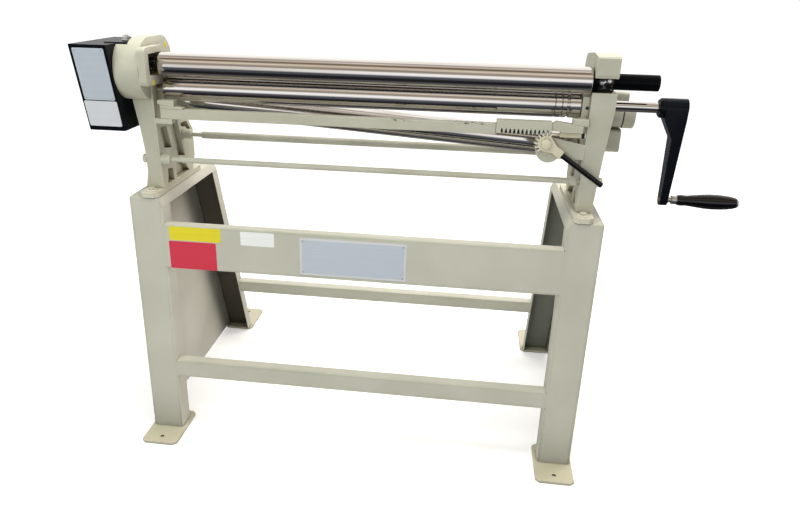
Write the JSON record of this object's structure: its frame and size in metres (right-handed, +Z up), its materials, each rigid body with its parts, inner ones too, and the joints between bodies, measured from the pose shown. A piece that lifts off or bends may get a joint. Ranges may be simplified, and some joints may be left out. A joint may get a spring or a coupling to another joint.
{
  "type": "slip_roll",
  "caption": "hand slip roll on a folded steel stand, geared pinch rolls with a toothed quick-clamp lever, tilting rear roll and side crank",
  "frame": {"origin": "middle of the machine's footprint at floor level, below the centre of the bounding box", "axes": "+X along the rolls toward the crank, +Y from the operator to the back, +Z up"},
  "size_m": [1.6678, 0.932, 1.1503],
  "materials": {
    "stand_paint": "semi-gloss warm light grey enamel",
    "casting_paint": "semi-gloss warm light grey enamel over cast iron",
    "roll_steel": "ground and polished along the roll",
    "bright_steel": "turned bright steel",
    "zinc_fastener": "bright zinc plate",
    "cover_black": "gloss black enamel",
    "crank_black": "gloss black enamel",
    "grip_black": "polished black phenolic",
    "bronze": "oiled bearing bronze"
  },
  "bodies": {
    "frame": {"stand_side_left": "stand_paint", "stand_side_right": "stand_paint", "upper_front_rail": "stand_paint", "lower_front_rail": "stand_paint", "rear_rail": "stand_paint", "foot_front_left": "stand_paint", "foot_front_right": "stand_paint", "foot_rear_left": "stand_paint", "foot_rear_right": "stand_paint", "left_head_casting": "casting_paint", "right_frame_casting": "casting_paint", "lever_bracket": "casting_paint", "bar_guide_right": "casting_paint", "bar_guide_left": "casting_paint", "tie_rod_front": "casting_paint", "tie_rod_rear": "casting_paint", "rear_bearing_housing": "casting_paint", "lever_pivot_bolt": "casting_paint", "frame_bolt_front_left": "zinc_fastener", "frame_bolt_front_right": "zinc_fastener", "frame_bolt_rear_left": "zinc_fastener", "frame_bolt_rear_right": "zinc_fastener", "tie_bolt_front_left": "zinc_fastener", "tie_bolt_front_right": "zinc_fastener", "tie_bolt_rear_left": "zinc_fastener", "tie_bolt_rear_right": "zinc_fastener", "hook_pin": "zinc_fastener", "cover_oiler": "zinc_fastener", "gear_cover": "cover_black"},
    "pinch_lever": {"toothed_lever": "casting_paint", "lever_grip": "grip_black"},
    "wedge_slide": {"wedge_bar": "casting_paint", "wedge_rack": "casting_paint", "wedge_pad_left": "casting_paint", "wedge_pad_right": "casting_paint"},
    "carriage": {"carriage_block_left": "casting_paint", "carriage_block_right": "casting_paint"},
    "lower_roll_set": {"lower_roll": "roll_steel", "lower_drive_gear": "bright_steel", "crank_arm": "crank_black", "crank_collar": "crank_black", "grip_spindle": "bright_steel"},
    "crank_grip": {"crank_grip": "grip_black"},
    "top_gear_set": {"top_drive_gear": "bright_steel", "top_gear_shaft": "bright_steel"},
    "top_roll_bearing": {"top_roll_bush": "bronze"},
    "top_roll_set": {"top_roll": "roll_steel", "roll_handle": "crank_black"},
    "roll_hook": {"roll_hook": "casting_paint"},
    "rear_left_slide": {"rear_block_left": "casting_paint"},
    "rear_bearing": {"rear_roll_bush": "bronze"},
    "rear_roll_set": {"rear_roll": "roll_steel"},
    "rear_right_slide": {"rear_block_right": "casting_paint"},
    "rear_knob": {"rear_adjust_knob": "casting_paint"}
  },
  "joints": [
    {"name": "pinch_lever", "type": "hinge", "parent": "frame", "child": "pinch_lever", "pos_m": [0.3404, -0.361, 0.92853], "axis": [0, -1, 0], "range_deg": [-20, 40]},
    {"name": "wedge_slide", "type": "slide", "parent": "frame", "child": "wedge_slide", "axis": [-1, 0, 0], "range_m": [-0.00888, 0.01777]},
    {"name": "carriage_slide", "type": "slide", "parent": "frame", "child": "carriage", "axis": [0, 0, -1], "range_m": [-0.00112, 0.00223]},
    {"name": "crank_spin", "type": "hinge", "parent": "carriage", "child": "lower_roll_set", "pos_m": [0.6164, -0.3035, 1.01783], "axis": [1, 0, 0], "continuous": true},
    {"name": "crank_grip_spin", "type": "hinge", "parent": "lower_roll_set", "child": "crank_grip", "pos_m": [0.6839, -0.3035, 0.78983], "axis": [1, 0, 0], "continuous": true},
    {"name": "top_gear_spin", "type": "hinge", "parent": "frame", "child": "top_gear_set", "pos_m": [-0.7786, -0.3305, 1.0786], "axis": [1, 0, 0], "continuous": true},
    {"name": "top_roll_swing", "type": "hinge", "parent": "frame", "child": "top_roll_bearing", "pos_m": [-0.7091, -0.3305, 1.0786], "axis": [0, 0, -1], "range_deg": [0, 14]},
    {"name": "top_roll_spin", "type": "hinge", "parent": "top_roll_bearing", "child": "top_roll_set", "pos_m": [-0.7091, -0.3305, 1.0786], "axis": [1, 0, 0], "continuous": true},
    {"name": "hook_open", "type": "hinge", "parent": "frame", "child": "roll_hook", "pos_m": [0.4644, -0.216, 1.0986], "axis": [-1, 0, 0], "range_deg": [0, 98.1]},
    {"name": "rear_roll_lift", "type": "slide", "parent": "frame", "child": "rear_left_slide", "axis": [0, 0, 1], "range_m": [-0.01, 0.035]},
    {"name": "rear_roll_tilt", "type": "hinge", "parent": "rear_left_slide", "child": "rear_bearing", "pos_m": [-0.6926, -0.226, 0.9795], "axis": [0, -1, 0], "range_deg": [0, 3.9]},
    {"name": "rear_roll_spin", "type": "hinge", "parent": "rear_bearing", "child": "rear_roll_set", "pos_m": [-0.6926, -0.226, 0.9795], "axis": [0.9977, 0, -0.068], "continuous": true},
    {"name": "rear_right_slide", "type": "slide", "parent": "rear_left_slide", "child": "rear_right_slide", "axis": [0, 0, 1], "range_m": [0, 0.0785]},
    {"name": "rear_knob_turn", "type": "hinge", "parent": "frame", "child": "rear_knob", "pos_m": [0.5074, -0.226, 0.9846], "axis": [1, 0, 0], "range_deg": [0, 270]}
  ],
  "couplings": [
    {"joint": "pinch_lever", "follows": "wedge_slide", "rad_per_m": 39.27},
    {"joint": "carriage_slide", "follows": "wedge_slide", "ratio": 0.125},
    {"joint": "top_gear_spin", "follows": "crank_spin", "ratio": -1},
    {"joint": "top_roll_spin", "follows": "crank_spin", "ratio": -1},
    {"joint": "hook_open", "follows": "top_roll_swing", "ratio": 7},
    {"joint": "rear_right_slide", "follows": "rear_roll_tilt", "m_per_rad": 1.1478},
    {"joint": "rear_knob_turn", "follows": "rear_roll_tilt", "ratio": 69.23}
  ]
}
